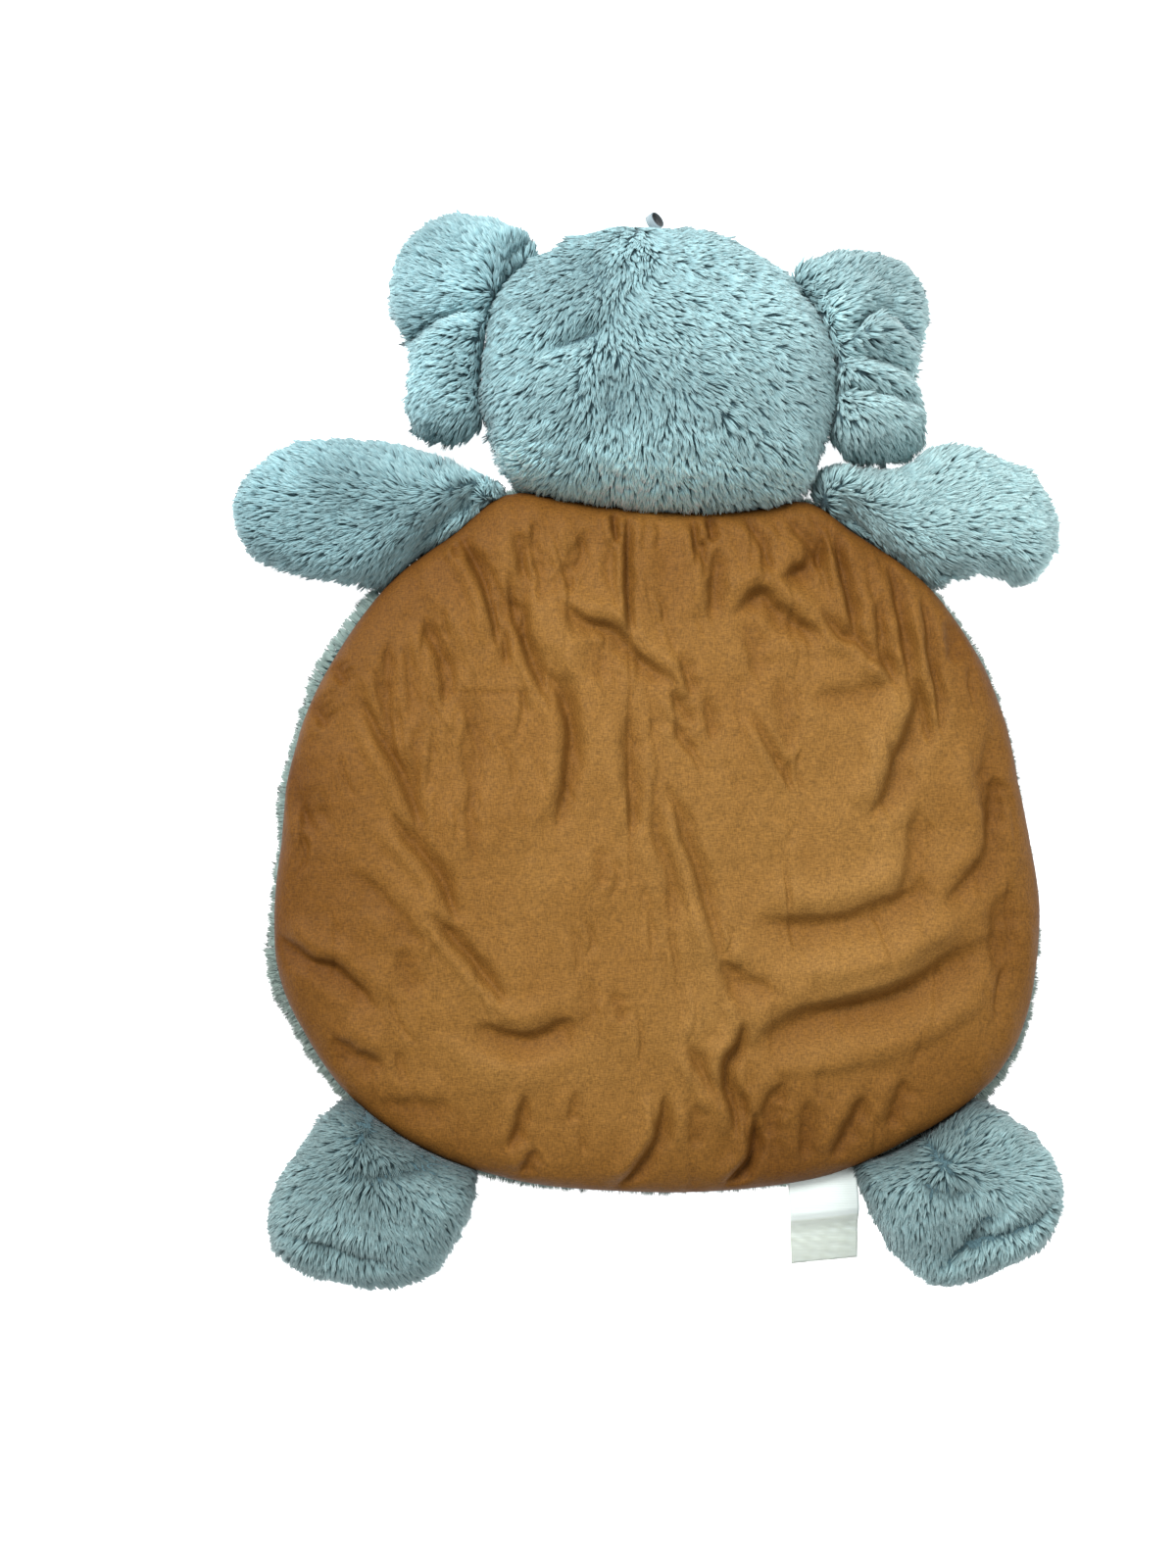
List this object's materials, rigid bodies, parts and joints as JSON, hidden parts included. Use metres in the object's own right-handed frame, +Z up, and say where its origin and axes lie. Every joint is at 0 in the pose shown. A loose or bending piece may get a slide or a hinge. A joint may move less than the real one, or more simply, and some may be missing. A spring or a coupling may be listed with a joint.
{
  "type": "animal shaped kids rug",
  "caption": "Elephant-shaped padded floor mat for a small child, lying face down: woven backing over a long-pile front, stuffed plush head, ears, arms and feet, and a hanging loop.",
  "frame": {"origin": "middle of the footprint on the floor, z = 0 at the surface the rug lies on", "axes": "+X to the right and +Y towards the head as the rug is seen from above, +Z up, woven backing upwards"},
  "size_m": [0.6146, 0.8016, 0.0958],
  "materials": {
    "plush": "long, lustrous blue-grey pile",
    "woven_backing": "plain-woven caramel brown cotton, slightly creased",
    "ribbon": "narrow grey woven ribbon",
    "label_tape": "thin white woven tape, bare"
  },
  "bodies": {
    "root": {"plush_front": "plush", "body_pad": "woven_backing", "head": "plush", "ear_left": "plush", "ear_right": "plush", "arm_left": "plush", "arm_right": "plush", "foot_left": "plush", "foot_right": "plush", "hang_loop": "ribbon", "care_label": "label_tape"}
  },
  "joints": []
}
